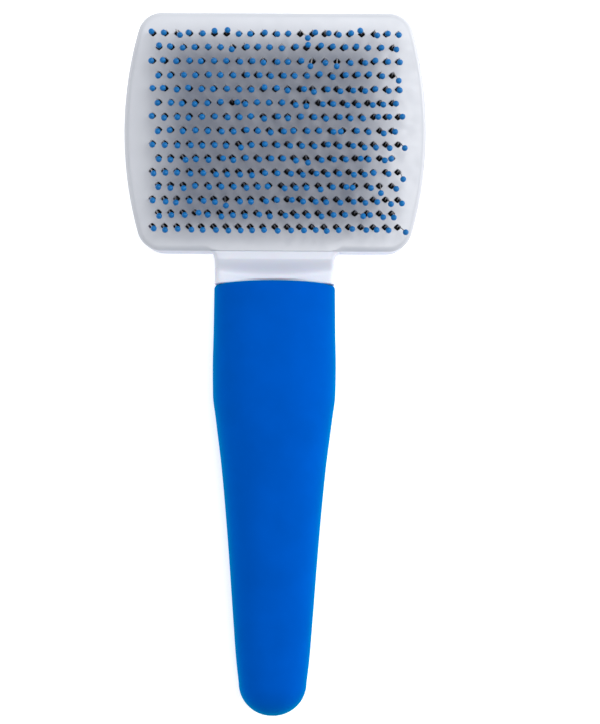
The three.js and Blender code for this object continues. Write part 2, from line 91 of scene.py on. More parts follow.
# The neck: a scoop that dips behind the shoulder and rises to the grip, and a flare into the head
NECK_HALF_WIDTH = 17.1
NECK_BACK_Z = 5.5
NECK_START_Y = GRIP_HIGH[1] + GAP
SHOULDER_Y = 30.8
SHOULDER_END_Y = HEAD_LOW_Y - 0.04
NECK_DIP = 1.7
NECK_DIP_REACH = 4.6
NECK_RISE = 0.5
NECK_FLARE_LENGTH = 3.4
NECK_FLARE_WIDTH = 1.7
NECK_GAP_MIDDLE = 0.5
NECK_GAP_FALL = 1.6
NECK_FRONT_EDGE = 1.5
NECK_BACK_EDGE = 2.0
NECK_SCREW = (12.8, 28.8)
BACK_WALL = 1.8
CORE_END_Y = NECK_START_Y - 0.7
CORE_TONGUE_X = 14.0
CORE_TONGUE_TOP_Z = 13.5
CORE_TONGUE_REACH = 2
CORE_SEAM_MARGIN = 0.4

# The release button, the latch and the springs
BUTTON_LIP = 1.0
BUTTON_LIP_THICKNESS = 0.8
BUTTON_DOOR_TOP_Z = 8.3
WEDGE_HALF_WIDTH = 2.8
WEDGE_LOW_Y = 27.4
WEDGE_HIGH_Y = 30.4
LATCH_SLOT_Y = 20.0
RETURN_SPRING_RADIUS = 1.85
LATCH_SPRING_RADIUS = 1.25
SPRING_WIRE = 0.18


# ---------------------------------------------------------------- camera, light and floor

def make_camera():
    """Straight down from half a metre, a little to the right of the brush, which fills the frame's height."""
    data = bpy.data.cameras.new("camera")
    data.lens = 87.4
    data.sensor_width = 36
    data.clip_start = 0.01
    camera = bpy.data.objects.new("camera", data)
    camera.location = (0.0074, 0.00145, 0.520)
    camera.rotation_euler = (0, 0, math.radians(0.3))
    bpy.context.scene.collection.objects.link(camera)
    bpy.context.scene.camera = camera


def area_light(name, place, size, power):
    """A white square lamp that faces the origin."""
    data = bpy.data.lights.new(name, "AREA")
    data.shape = "SQUARE"
    data.size = size
    data.energy = power
    light = bpy.data.objects.new(name, data)
    light.location = place
    light.rotation_mode = "QUATERNION"
    light.rotation_quaternion = (-Vector(place)).to_track_quat("-Z", "Y")
    bpy.context.scene.collection.objects.link(light)


def make_studio():
    """Soft light from overhead and from both sides, over a bright white table."""
    bpy.context.scene.view_settings.view_transform = "Standard"
    world = bpy.data.worlds.new("studio")
    world.use_nodes = True
    world.node_tree.nodes["Background"].inputs["Color"].default_value = (0.94, 0.97, 1, 1)
    world.node_tree.nodes["Background"].inputs["Strength"].default_value = 0.42
    bpy.context.scene.world = world
    area_light("overhead", (0.16, 0.22, 1.3), 0.45, 6.5)
    area_light("side", (0.95, 0.35, 0.55), 0.5, 7.0)
    area_light("left", (-0.9, 0.25, 0.28), 0.6, 1.6)

    bpy.ops.mesh.primitive_plane_add(size=6, location=(0, 0, 0))
    floor = bpy.context.active_object
    floor.name = "floor"
    material, _, shader = new_material("floor_white")
    shader.inputs["Base Color"].default_value = (0.9, 0.9, 0.9, 1)
    shader.inputs["Roughness"].default_value = 0.9
    shader.inputs["Emission Color"].default_value = (1, 1, 1, 1)
    shader.inputs["Emission Strength"].default_value = 0.55
    floor.data.materials.append(material)


# ---------------------------------------------------------------- materials

NOISE_SPAN = (0.3, 0.7)
GRAIN_DEPTH = 0.00004


def new_material(name):
    material = bpy.data.materials.new(name)
    material.use_nodes = True
    tree = material.node_tree
    return material, tree, tree.nodes["Principled BSDF"]


def noise(tree, scale, detail=2.0, stretch=None):
    """Noise in object space, with grains of about 1000 / scale millimetres."""
    coordinates = tree.nodes.new("ShaderNodeTexCoord")
    texture = tree.nodes.new("ShaderNodeTexNoise")
    texture.inputs["Scale"].default_value = scale
    texture.inputs["Detail"].default_value = detail
    if stretch:
        mapping = tree.nodes.new("ShaderNodeMapping")
        mapping.inputs["Scale"].default_value = stretch
        tree.links.new(coordinates.outputs["Object"], mapping.inputs["Vector"])
        tree.links.new(mapping.outputs["Vector"], texture.inputs["Vector"])
    else:
        tree.links.new(coordinates.outputs["Object"], texture.inputs["Vector"])
    return texture.outputs["Fac"]


def ramp(tree, value, low, high):
    """A noise value as a colour from low to high."""
    node = tree.nodes.new("ShaderNodeValToRGB")
    for element, place, colour in zip(node.color_ramp.elements, NOISE_SPAN, (low, high)):
        element.position = place
        element.color = (*colour, 1)
    tree.links.new(value, node.inputs["Fac"])
    return node.outputs["Color"]


def spread(tree, value, low, high):
    """A noise value as a number from low to high."""
    node = tree.nodes.new("ShaderNodeMapRange")
    node.inputs["From Min"].default_value = NOISE_SPAN[0]
    node.inputs["From Max"].default_value = NOISE_SPAN[1]
    node.inputs["To Min"].default_value = low
    node.inputs["To Max"].default_value = high
    tree.links.new(value, node.inputs["Value"])
    return node.outputs["Result"]


def bump(tree, shader, height, strength):
    """Fine relief on the surface."""
    node = tree.nodes.new("ShaderNodeBump")
    node.inputs["Strength"].default_value = strength
    node.inputs["Distance"].default_value = GRAIN_DEPTH
    tree.links.new(height, node.inputs["Height"])
    tree.links.new(node.outputs["Normal"], shader.inputs["Normal"])


def shade(colour, amount):
    return tuple(min(1.0, channel * amount) for channel in colour)


def mottled(name, colour, variation, roughness, grain, relief, cloud=60.0, stretch=None):
    """A moulded material: faint clouds in the colour, an uneven finish and a fine grain in relief."""
    material, tree, shader = new_material(name)
    clouds = noise(tree, cloud, 3.0)
    base = ramp(tree, clouds, shade(colour, 1 - variation), shade(colour, 1 + variation))
    tree.links.new(base, shader.inputs["Base Color"])
    tree.links.new(spread(tree, noise(tree, cloud * 6), *roughness), shader.inputs["Roughness"])
    bump(tree, shader, noise(tree, grain, 2.0, stretch), relief)
    return material, shader


def white_plastic():
    material, shader = mottled("white_plastic", (0.74, 0.76, 0.84), 0.012, (0.36, 0.46), 2600, 0.25)
    shader.inputs["Subsurface Weight"].default_value = 0.15
    shader.inputs["Subsurface Scale"].default_value = 0.0012
    return material


def position(tree):
    """The object-space X and Y at each point, in metres."""
    coordinates = tree.nodes.new("ShaderNodeTexCoord")
    split = tree.nodes.new("ShaderNodeSeparateXYZ")
    tree.links.new(coordinates.outputs["Object"], split.inputs["Vector"])
    return split.outputs["X"], split.outputs["Y"]


def fade(tree, distance, edge, reach):
    """1 until reach[0] mm before the edge, then softly down to 0 at reach[1] mm beyond it."""
    node = tree.nodes.new("ShaderNodeMapRange")
    node.interpolation_type = "SMOOTHSTEP"
    node.inputs["From Min"].default_value = (edge - reach[0]) * MM
    node.inputs["From Max"].default_value = (edge + reach[1]) * MM
    node.inputs["To Min"].default_value = 1
    node.inputs["To Max"].default_value = 0
    tree.links.new(distance, node.inputs["Value"])
    return node.outputs["Result"]


def math_node(tree, operation, *values):
    """One step of arithmetic on sockets or numbers."""
    node = tree.nodes.new("ShaderNodeMath")
    node.operation = operation
    for value, socket in zip(values, node.inputs):
        if isinstance(value, bpy.types.NodeSocket):
            tree.links.new(value, socket)
        else:
            socket.default_value = value
    return node.outputs["Value"]


def mix_colours(tree, share, low, high):
    """A mix of two colour sockets. The Mix node's colours are its inputs 6 and 7 and its output 2."""
    node = tree.nodes.new("ShaderNodeMix")
    node.data_type = "RGBA"
    tree.links.new(share, node.inputs["Factor"])
    tree.links.new(low, node.inputs[6])
    tree.links.new(high, node.inputs[7])
    return node.outputs[2]


def over_pad_and_pin_shade(tree):
    """1 over the dark pad, falling softly to 0 beyond it: how much of the pad shows through the web, and how
    much of the pins' painted shade lies on it.
    """
    x, y = position(tree)
    sides = []
    for place, middle, half, reach in (
        (x, PAD_AND_PIN_SHADE_MIDDLE[0], PIN_HIGH[0], PAD_AND_PIN_SHADE_FADE_X),
        (y, PAD_AND_PIN_SHADE_MIDDLE[1], FIELD_HALF_LENGTH, PAD_AND_PIN_SHADE_FADE_Y),
    ):
        distance = math_node(tree, "ABSOLUTE", math_node(tree, "SUBTRACT", place, middle * MM))
        sides.append(fade(tree, distance, half, reach))
    return math_node(tree, "MULTIPLY", *sides)


def face_plastic():
    """Milky plastic. It is greyer over the pin field, where the pad shows through the web and the pins' shade
    is painted on, and lightest at the top, where light is painted on.
    """
    material, tree, shader = new_material("face_plastic")
    clouds = noise(tree, 60, 3.0)
    thick = ramp(tree, clouds, (0.590, 0.604, 0.650), (0.610, 0.624, 0.670))
    # Painted light: a lighter copy of the face colour for its top, standing in for the lamps' light falling
    # off along the head.
    light = ramp(tree, clouds, (0.645, 0.663, 0.712), (0.665, 0.683, 0.732))
    # Painted shade: this grey stands partly for the dark pad seen through the web and partly for the pins'
    # shadows and occlusion on it.
    web_grey_and_pin_shade = ramp(tree, noise(tree, 140, 3.0), (0.140, 0.160, 0.212), (0.170, 0.190, 0.246))
    _, y = position(tree)
    below_painted_top_light = fade(tree, y, FACE_HIGH[1], (12, 0))
    # The face colour with the painted top light mixed in.
    body = mix_colours(tree, below_painted_top_light, light, thick)
    tree.links.new(mix_colours(tree, over_pad_and_pin_shade(tree), body, web_grey_and_pin_shade), shader.inputs["Base Color"])
    tree.links.new(spread(tree, noise(tree, 420), 0.30, 0.40), shader.inputs["Roughness"])
    bump(tree, shader, noise(tree, 2200), 0.16)
    return material


def grip_rubber():
    material, shader = mottled("grip_rubber", (0.0, 0.086, 0.51), 0.05, (0.55, 0.68), 5200, 0.55, 90.0)
    shader.inputs["Specular IOR Level"].default_value = 0.0
    shader.inputs["Sheen Weight"].default_value = 0.35
    shader.inputs["Sheen Roughness"].default_value = 0.45
    shader.inputs["Sheen Tint"].default_value = (0.0, 0.9, 0.5, 1)
    return material


def blue_plastic():
    material, shader = mottled("blue_plastic", (0.003, 0.105, 0.56), 0.04, (0.28, 0.38), 2600, 0.2)
    shader.inputs["Specular IOR Level"].default_value = 0.4
    return material


def pin_tips():
    material, shader = mottled("pin_tips", (0.001, 0.140, 0.41), 0.12, (0.26, 0.36), 1800, 0.2, 260.0)
    shader.inputs["Specular IOR Level"].default_value = 0.28
    return material


def pad_rubber():
    material, shader = mottled("pad_rubber", (0.006, 0.006, 0.007), 0.25, (0.7, 0.85), 2400, 0.5)
    shader.inputs["Specular IOR Level"].default_value = 0.2
    return material


def grey_plastic():
    return mottled("grey_plastic", (0.50, 0.52, 0.56), 0.03, (0.42, 0.55), 2200, 0.3)[0]


def steel(name, colour, roughness):
    """Drawn steel, with its grain along Z."""
    material, shader = mottled(name, colour, 0.06, roughness, 900, 0.25, 300.0, (1, 1, 0.08))
    shader.inputs["Metallic"].default_value = 1
    return material


# ---------------------------------------------------------------- mesh tools

WELD_DISTANCE = 1e-6
CLEAN_DISTANCE = 2e-6


def solid(points, faces):
    """A closed mesh object from points in millimetres, faces turned outwards."""
    mesh = bpy.data.meshes.new("solid")
    mesh.from_pydata((np.asarray(points, float) * MM).tolist(), [], faces)
    built = bmesh.new()
    built.from_mesh(mesh)
    bmesh.ops.remove_doubles(built, verts=built.verts, dist=WELD_DISTANCE)
    bmesh.ops.recalc_face_normals(built, faces=built.faces)
    built.to_mesh(mesh)
    built.free()
    shape = bpy.data.objects.new("solid", mesh)
    bpy.context.scene.collection.objects.link(shape)
    return shape


def loft(rings, closed=False, caps=True):
    """Points and faces of a skin through rings of equal count. closed joins the last ring to the first."""
    count = len(rings[0])
    faces = []
    for k in range(len(rings) if closed else len(rings) - 1):
        a = k * count
        b = (k + 1) % len(rings) * count
        for i in range(count):
            j = (i + 1) % count
            faces.append((a + i, a + j, b + j, b + i))
    if caps and not closed:
        last = (len(rings) - 1) * count
        faces.append(tuple(range(count))[::-1])
        faces.append(tuple(range(last, last + count)))
    return np.vstack(rings), faces


def capped(rings):
    """Points and faces of a skin through rings, closed only at its last ring."""
    points, faces = loft(rings, caps=False)
    count = len(rings[0])
    return points, faces + [tuple(range(len(points) - count, len(points)))]


def fanned(rings):
    """Points and faces of a skin through rings, with its ends closed by fans, for ends that aren't flat."""
    points, faces = loft(rings, caps=False)
    count = len(rings[0])
    for ring in (rings[0], rings[-1]):
        start = 0 if ring is rings[0] else count * (len(rings) - 1)
        faces += [(start + i, start + (i + 1) % count, len(points)) for i in range(count)]
        points = np.vstack([points, ring.mean(axis=0)])
    return points, faces


def circle_ring(x, y, radius, z, sides=32):
    """A level circle of points."""
    angles = 2 * math.pi * np.arange(sides) / sides
    ring_x = x + radius * np.cos(angles)
    ring_y = y + radius * np.sin(angles)
    return np.column_stack([ring_x, ring_y, np.full(sides, float(z))])


def merged(parts):
    """Several (points, faces) as one."""
    points, faces, start = [], [], 0
    for some_points, some_faces in parts:
        points.append(some_points)
        faces += [tuple(i + start for i in face) for face in some_faces]
        start += len(some_points)
    return np.vstack(points), faces


def combine(shape, other, operation):
    """shape joined with, cut by or kept inside other, which is used up."""
    modifier = shape.modifiers.new("combine", "BOOLEAN")
    modifier.operation = operation
    modifier.solver = "EXACT"
    modifier.object = other
    graph = bpy.context.evaluated_depsgraph_get()
    mesh = bpy.data.meshes.new_from_object(shape.evaluated_get(graph))
    shape.modifiers.clear()
    shape.data = mesh
    bpy.data.objects.remove(other)
    return shape


def new_piece(shape, name, material, body, replaces=(), sharp=32):
    """Names a finished solid and hands it to the frame."""
    shape.name = name
    shape.data.name = name
    shape.data.materials.clear()
    shape.data.materials.append(material)
    shape.data.shade_smooth()
    shape.data.set_sharp_from_angle(angle=math.radians(sharp))
    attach(shape, body)
    if replaces:
        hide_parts(*replaces)


def cleaned(shape):
    """Welds points that a boolean left on top of each other and drops faces with no area."""
    built = bmesh.new()
    built.from_mesh(shape.data)
    bmesh.ops.remove_doubles(built, verts=built.verts, dist=CLEAN_DISTANCE)
    bmesh.ops.dissolve_degenerate(built, edges=built.edges, dist=CLEAN_DISTANCE)
    built.to_mesh(shape.data)
    built.free()
    return shape


def arc(centre_x, centre_y, radius, start, stop, steps):
    """Points along a flat arc, without its last one."""
    angles = start + (stop - start) * np.arange(steps) / steps
    return np.column_stack([centre_x + radius * np.cos(angles), centre_y + radius * np.sin(angles)])


def line(start, stop, steps):
    """Points along a flat line, without its last one."""
    shares = np.arange(steps)[:, None] / steps
    return np.array(start) + (np.array(stop) - np.array(start)) * shares


class Outline:
    """A rounded rectangle about (0, centre_y), with sides that may bow out on a large radius."""

    def __init__(self, half_width, half_length, centre_y, corner, side_radius=1e5, steps=(20, 10, 20)):
        self.half_width = half_width
        self.half_length = half_length
        self.centre_y = centre_y
        self.corner = corner
        self.side_radius = side_radius
        self.steps = steps

    def flat(self, inset):
        """The outline's points, drawn in by inset."""
        side_steps, corner_steps, end_steps = self.steps
        half_width = self.half_width - inset
        half_length = self.half_length - inset
        corner = max(self.corner - inset, 0.2)
        radius = self.side_radius - inset
        side_x = half_width - radius
        corner_y = half_length - corner
        reach = radius - corner
        corner_x = side_x + math.sqrt(reach**2 - corner_y**2)
        a = math.asin(corner_y / reach)
        pi = math.pi
        points = np.vstack([
            arc(side_x, 0, radius, -a, a, side_steps),
            arc(corner_x, corner_y, corner, a, pi / 2, corner_steps),
            line((corner_x, half_length), (-corner_x, half_length), end_steps),
            arc(-corner_x, corner_y, corner, pi / 2, pi - a, corner_steps),
            arc(-side_x, 0, radius, pi - a, pi + a, side_steps),
            arc(-corner_x, -corner_y, corner, pi + a, 1.5 * pi, corner_steps),
            line((-corner_x, -half_length), (corner_x, -half_length), end_steps),
            arc(corner_x, -corner_y, corner, -pi / 2, -a, corner_steps),
        ])
        return points + (0, self.centre_y)

    def ring(self, inset, z):
        """The outline's points at a height."""
        points = self.flat(inset)
        return np.column_stack([points, np.full(len(points), float(z))])


HEAD_CORNER = 7
HEAD_SIDE_RADIUS = 107
HEAD_HALF_LENGTH = (FACE_HIGH[1] - FACE_LOW[1]) / 2
HEAD_STEPS = (28, 12, 44)
HEAD = Outline(FACE_HIGH[0], HEAD_HALF_LENGTH, HEAD_MID_Y, HEAD_CORNER, HEAD_SIDE_RADIUS, HEAD_STEPS)

WINDOW_CORNER = 3.0
WINDOW_GAP = 0.5
PUSH_HALF_LENGTH = (PUSH_HIGH[1] - PUSH_LOW[1]) / 2
WINDOW = Outline(
    PUSH_HIGH[0] + WINDOW_GAP, PUSH_HALF_LENGTH + WINDOW_GAP, HEAD_MID_Y, WINDOW_CORNER, steps=HEAD_STEPS
)


def bar(x, y, radius, low_z, high_z, sides=40, chamfer=0.0):
    """An upright round bar, with its ends chamfered if asked."""
    levels = [(radius, low_z), (radius, high_z)]
    if chamfer:
        narrow = radius - chamfer
        levels = [(narrow, low_z), (radius, low_z + chamfer), (radius, high_z - chamfer), (narrow, high_z)]
    return loft([circle_ring(x, y, r, z, sides) for r, z in levels])


def block(low, high):
    """A plain block between two corners."""
    corners = [(low[0], low[1]), (high[0], low[1]), (high[0], high[1]), (low[0], high[1])]
    return loft([np.array([(x, y, z) for x, y in corners], float) for z in (low[2], high[2])])


def rounded_block(low, high, corner):
    """A block between two corners, with its upright edges rounded."""
    half_width = (high[0] - low[0]) / 2
    half_length = (high[1] - low[1]) / 2
    outline = Outline(half_width, half_length, (low[1] + high[1]) / 2, corner, steps=(1, 6, 1))
    return loft([outline.ring(0, low[2]), outline.ring(0, high[2])])


# ---------------------------------------------------------------- pins

PIN_ROWS = 15
PINS_IN_ODD_ROW = 21
PIN_PITCH = 3.49
ROW_PITCH = (LAST_PIN_LOW[1] - PIN_LOW[1]) / (PIN_ROWS - 1)
PIN_FIELD_Y = (PIN_LOW[1] + LAST_PIN_HIGH[1]) / 2
FIELD_HALF_LENGTH = (LAST_PIN_HIGH[1] - PIN_LOW[1]) / 2
PAD_LOW_Z = PIN_LOW[2]
PAD_HIGH_Z = FACE_Z - WEB_THICKNESS - 0.4
BALL_RADIUS = 0.86
BALL_Z = PIN_HIGH[2] - BALL_RADIUS - 0.05
WIRE_RADIUS = 0.15
WIRE_SIDES = 8
WIRE_ROOT = 0.6
KNEE_Z = FACE_Z + 7
KNEE_BELOW = 1.2
KNEE_SHARE = 0.35

# Where the dark pad shows through the web and the pins' shade is painted on it, set off to the left and down
# where their shadows fall, and how softly it fades at each side
PAD_AND_PIN_SHADE_MIDDLE = (-1.3, PIN_FIELD_Y - 1.4)
PAD_AND_PIN_SHADE_FADE_X = (14, 4.5)
PAD_AND_PIN_SHADE_FADE_Y = (9.5, 4)

# How the tips lean in X and Y, and how they scatter, from the even left to the worn right
TIP_LEAN = (0.66, -1.7)
LEAN_PER_Y = -0.014
EVEN_JITTER = 0.2
WORN_JITTER = 0.32
EVEN_STRAYS = 0.02
WORN_STRAYS = 0.12
STRAY_JITTER = 0.95
LEAN_LIMITS = ((-0.9, -3.0), (2.1, -0.9))
LONG_LEAN = 2.2
DROP_PER_LEAN = 0.18


def pin_places(row):
    """The X and Y of each pin in a row. Every other row has one pin fewer and is shifted by half a pitch."""
    count = PINS_IN_ODD_ROW - row % 2
    y = PIN_FIELD_Y + (row - (PIN_ROWS - 1) / 2) * ROW_PITCH
    return [((i - (count - 1) / 2) * PIN_PITCH, y) for i in range(count)]


def wire(x, y, tip):
    """A bent pin wire: straight up out of the pad, a soft knee, then a lean to the ball."""
    knee = np.array([x, y, KNEE_Z])
    low = knee - (0, 0, KNEE_BELOW)
    high = knee + KNEE_SHARE * (tip - knee)
    path = [np.array([x, y, PAD_LOW_Z + WIRE_ROOT]), low]
    for share in (0.25, 0.5, 0.75, 1.0):
        path.append((1 - share) ** 2 * low + 2 * share * (1 - share) * knee + share**2 * high)
    path.append(tip)
    path = np.array(path)
    tangents = np.gradient(path, axis=0)
    tangents /= np.linalg.norm(tangents, axis=1)[:, None]
    across = np.cross((0, 1, 0), tangents)
    across /= np.linalg.norm(across, axis=1)[:, None]
    along = np.cross(tangents, across)
    angles = 2 * math.pi * np.arange(WIRE_SIDES) / WIRE_SIDES
    rings = [p + WIRE_RADIUS * (np.outer(np.cos(angles), u) + np.outer(np.sin(angles), v))
             for p, u, v in zip(path, across, along)]
    return loft(rings)


def ball(centre, radius, sides=16, steps=9):
    """A ball with tiny flats at its two poles."""
    rings = []
    for k in range(steps + 1):
        tilt = math.pi * min(max(k / steps, 0.02), 0.98)
        z = centre[2] - radius * math.cos(tilt)
        rings.append(circle_ring(centre[0], centre[1], radius * math.sin(tilt), z, sides))
    return loft(rings)


def make_pins(wire_material, tip_material, pad_material):
    """Wires and balls row by row, and their pad. The pins on the right are more worn and stray further."""
    rng = np.random.default_rng(11)
    for row in range(PIN_ROWS):
        wires, balls = [], []
        for x, y in pin_places(row):
            wear = np.clip(0.5 + x / (2 * PIN_HIGH[0]), 0, 1)
            stray = rng.random() < EVEN_STRAYS + (WORN_STRAYS - EVEN_STRAYS) * wear
            jitter = STRAY_JITTER if stray else EVEN_JITTER + (WORN_JITTER - EVEN_JITTER) * wear
            lean = (TIP_LEAN[0] + LEAN_PER_Y * (y - PIN_FIELD_Y), TIP_LEAN[1])
            dx, dy = np.clip(rng.normal(lean, jitter), *LEAN_LIMITS)
            drop = DROP_PER_LEAN * max(0.0, math.hypot(dx, dy) - LONG_LEAN)
            tip = np.array([x + dx, y + dy, BALL_Z - drop])
            wires.append(wire(x, y, tip))
            balls.append(ball(tip, BALL_RADIUS))
        number = f"{row + 1:02d}"
        wire_row = solid(*merged(wires))
        new_piece(wire_row, f"pin_wires_{number}", wire_material, "carriage", sharp=60)
        ball_row = solid(*merged(balls))
        new_piece(ball_row, f"pin_balls_{number}", tip_material, "carriage", sharp=80)

    outline = Outline(PIN_HIGH[0], FIELD_HALF_LENGTH, PIN_FIELD_Y, 2.0)
    sides = [(0.4, PAD_LOW_Z), (0, PAD_LOW_Z + 0.4)]
    soft_edge = [(0, PAD_HIGH_Z - 0.7), (0.25, PAD_HIGH_Z - 0.2), (0.8, PAD_HIGH_Z)]
    pad = solid(*loft([outline.ring(*level) for level in sides + soft_edge]))
    rows = [f"pin_row_{row + 1:02d}" for row in range(PIN_ROWS)]
    new_piece(pad, "pin_pad", pad_material, "carriage", rows)


# ---------------------------------------------------------------- face plate

HOLE_HALF_WIDTH = 1.17
HOLE_HALF_LENGTH = 1.05
HOLE_CHAMFER = 0.12
HOLE_CORNER_CUT = 0.26
RECESS_MARGIN = 0.45
RIM_IN = 1.5
RIM_DOWN = 1.15
LIP_HALF_WIDTH = 25.0
LIP_THICKNESS = 1.2
LIP_DEPTH = 1.5
SOCKET_DEPTH = 1.0


def diamond(x, y, z, grow=0.0):
    """A diamond hole's edge, with its four corners slightly round."""
    half = np.array([HOLE_HALF_WIDTH + 1.15 * grow, HOLE_HALF_LENGTH + grow])
    tips = np.array([(1, 0), (0, 1), (-1, 0), (0, -1)]) * half
    points = []
    for k in range(4):
        before, tip, after = tips[k - 1], tips[k], tips[(k + 1) % 4]
        start = tip + (before - tip) * HOLE_CORNER_CUT
        stop = tip + (after - tip) * HOLE_CORNER_CUT
        points += [start, (start + stop) / 4 + tip / 2, stop]
    return np.column_stack([np.array(points) + (x, y), np.full(12, float(z))])


def inside(loop, points):
    """Which points lie inside a closed loop, by counting crossings."""
    found = np.zeros(len(points), bool)
    for (x0, y0), (x1, y1) in zip(loop[:, :2], np.roll(loop[:, :2], -1, axis=0)):
        if y0 != y1:
            crosses = (points[:, 1] > min(y0, y1)) & (points[:, 1] <= max(y0, y1))
            found ^= crosses & (points[:, 0] < x0 + (points[:, 1] - y0) * (x1 - x0) / (y1 - y0))
    return found


def pierced_sheet(outline, openings):
    """A flat face inside a ring of points, with openings left in it."""
    points, edges = [], []
    for loop in [outline, *openings]:
        start = len(points)
        points += [Vector(p[:2]) for p in loop]
        edges += [(start + i, start + (i + 1) % len(loop)) for i in range(len(loop))]
    inside_outline = 1
    found, _, faces, *_ = delaunay_2d_cdt(points, edges, [], inside_outline, 1e-5)
    flat = np.array([(p[0], p[1]) for p in found])
    centres = np.array([flat[list(face)].mean(axis=0) for face in faces])
    kept = np.ones(len(faces), bool)
    for opening in openings:
        kept &= ~inside(opening, centres)
    levelled = np.column_stack([flat, np.full(len(flat), outline[0][2])])
    return levelled, [tuple(face) for face, keep in zip(faces, kept) if keep]


def rim_scale():
    """The rim's roundness at each point of the head outline: small where the neck meets the face."""
    points = HEAD.flat(0)
    at_neck = (points[:, 1] < HEAD_LOW_Y + 1) & (abs(points[:, 0]) < NECK_HALF_WIDTH + 2)
    away = np.clip((abs(points[:, 0]) - NECK_HALF_WIDTH + 1.5) / 3.5, 0, 1)
    return np.where(at_neck, 0.08 + 0.92 * away**2, 1.0)


def rim_ring(inset, depth, scale):
    """A ring of the rim, drawn in and down by amounts scaled point by point."""
    full = HEAD.flat(0)
    drawn_in = full + (HEAD.flat(1.0) - full) * inset * scale[:, None]
    return np.column_stack([drawn_in, FACE_Z - depth * scale])


def make_face_plate(material):
    """The stiff cover: a soft rim, a web with a diamond hole for each pin, two lips and four post sockets."""
    angles = np.linspace(0, math.pi / 2, 11)
    rim = [(RIM_IN * (1 - math.sin(a)), RIM_DOWN * (1 - math.cos(a))) for a in angles]
    scale = rim_scale()
    rings = [rim_ring(*level, scale) for level in [(RIM_IN + 0.3, 0), *rim]]
    low = FACE_UNDER_Z
    rings += [HEAD.ring(0, low + 0.2), HEAD.ring(0.2, low)]

    places = [place for row in range(PIN_ROWS) for place in pin_places(row)]
    half_width = PIN_HIGH[0] + RECESS_MARGIN
    half_length = FIELD_HALF_LENGTH + RECESS_MARGIN
    recess = Outline(half_width, half_length, PIN_FIELD_Y, 1.0, steps=(12, 4, 12))
    web_z = FACE_Z - WEB_THICKNESS
    hole_levels = [(FACE_Z, HOLE_CHAMFER), (FACE_Z - HOLE_CHAMFER, 0), (web_z, 0)]
    parts = [
        loft(rings, caps=False),
        pierced_sheet(rings[0], [diamond(x, y, FACE_Z, HOLE_CHAMFER) for x, y in places]),
        pierced_sheet(recess.ring(0, web_z), [diamond(x, y, web_z) for x, y in places]),
        loft([recess.ring(0, low), recess.ring(0, web_z)], caps=False),
    ]
    parts += [loft([diamond(x, y, z, grow) for z, grow in hole_levels], caps=False) for x, y in places]

    inset = WALL + GAP
    half_lip = LIP_THICKNESS / 2
    lip_places = [HEAD_LOW_Y + inset + half_lip, FACE_HIGH[1] - inset - half_lip]
    lips = [Outline(LIP_HALF_WIDTH, half_lip, y, 0.3, steps=(1, 3, 12)) for y in lip_places]
    post_gap = POST_RADIUS + GAP
    openings = [recess.ring(0, low)]
    openings += [lip.ring(0, low) for lip in lips]
    openings += [circle_ring(x, y, post_gap, low) for x, y in POST_PLACES]
    parts.append(pierced_sheet(rings[-1], openings))
    lip_levels = [(0, low), (0, low - LIP_DEPTH + 0.3), (0.3, low - LIP_DEPTH)]
    parts += [capped([lip.ring(*level) for level in lip_levels]) for lip in lips]
    for x, y in POST_PLACES:
        parts.append(capped([circle_ring(x, y, post_gap, z) for z in (low, low + SOCKET_DEPTH)]))
    plate = solid(*merged(parts))
    new_piece(plate, "face_plate_fine", material, "housing", ["face_plate"], sharp=14)


# ---------------------------------------------------------------- grip

# Y, half width, low Z and high Z from the mouth to the far end. The first five round off the mouth's lip.
GRIP_STATIONS = np.array([
    (24.2, 16.05, 3.9, 22.2),
    (24.1, 16.45, 3.45, 22.65),
    (23.8, 16.95, 2.95, 23.15),
    (23.3, 17.25, 2.6, 23.5),
    (22.7, 17.4, 2.42, 23.68),
    (10, 17.55, 0.8, 25.1),
    (0, 17.75, 0.1, 25.9),
    (-8, 17.65, 0.0, 26.0),
    (-15, 16.8, 0.3, 25.7),
    (-30, 14.95, 1.3, 24.7),
    (-50, 13.15, 2.4, 23.6),
    (-75, 11.3, 3.3, 22.7),
    (-84, 10.6, 3.7, 22.3),
    (-91, 9.8, 4.1, 21.9),
])
GRIP_SQUARENESS = 2.3
GRIP_LIP_STATIONS = 5
SLEEVE_THICKNESS = 2.4
LIP_ROUNDING = 1.2
TAIL_MARGIN = 0.4
MOUTH_BOW_OUT = 0.4
MOUTH_BOW_DEPTH = 1.0
MOUTH_BOW_REACH = 4.0


def mouth_bow(x):
    """How far the sleeve's mouth bows towards the head at each X: out in the middle, back at the sides."""
    return MOUTH_BOW_OUT - MOUTH_BOW_DEPTH * np.minimum(abs(x) / NECK_HALF_WIDTH, 1.05) ** 2.4


def bow_mouth(ring):
    """Moves a ring near the mouth along Y by the mouth's bow, which dies away into the grip."""
    near = np.clip(1 - (GRIP_STATIONS[0, 0] - ring[:, 1]) / MOUTH_BOW_REACH, 0, 1) ** 2
    ring[:, 1] += near * mouth_bow(ring[:, 0])
    return ring


def smooth_through(places, values, at):
    """A curve through the values with no overshoot (monotone cubic)."""
    order = np.argsort(places)
    x, y = places[order], values[order]
    steps = np.diff(x)
    slopes = np.diff(y) / steps
    tangents = np.zeros(len(x))
    for i in range(1, len(x) - 1):
        if slopes[i - 1] * slopes[i] > 0:
            w1 = 2 * steps[i] + steps[i - 1]
            w2 = steps[i] + 2 * steps[i - 1]
            tangents[i] = (w1 + w2) / (w1 / slopes[i - 1] + w2 / slopes[i])
    tangents[0], tangents[-1] = slopes[0], slopes[-1]
    k = np.clip(np.searchsorted(x, at) - 1, 0, len(steps) - 1)
    t = (at - x[k]) / steps[k]
    h = steps[k]
    return ((1 + 2 * t) * (1 - t) ** 2 * y[k] + t * (1 - t) ** 2 * h * tangents[k]
            + t * t * (3 - 2 * t) * y[k + 1] + t * t * (t - 1) * h * tangents[k + 1])


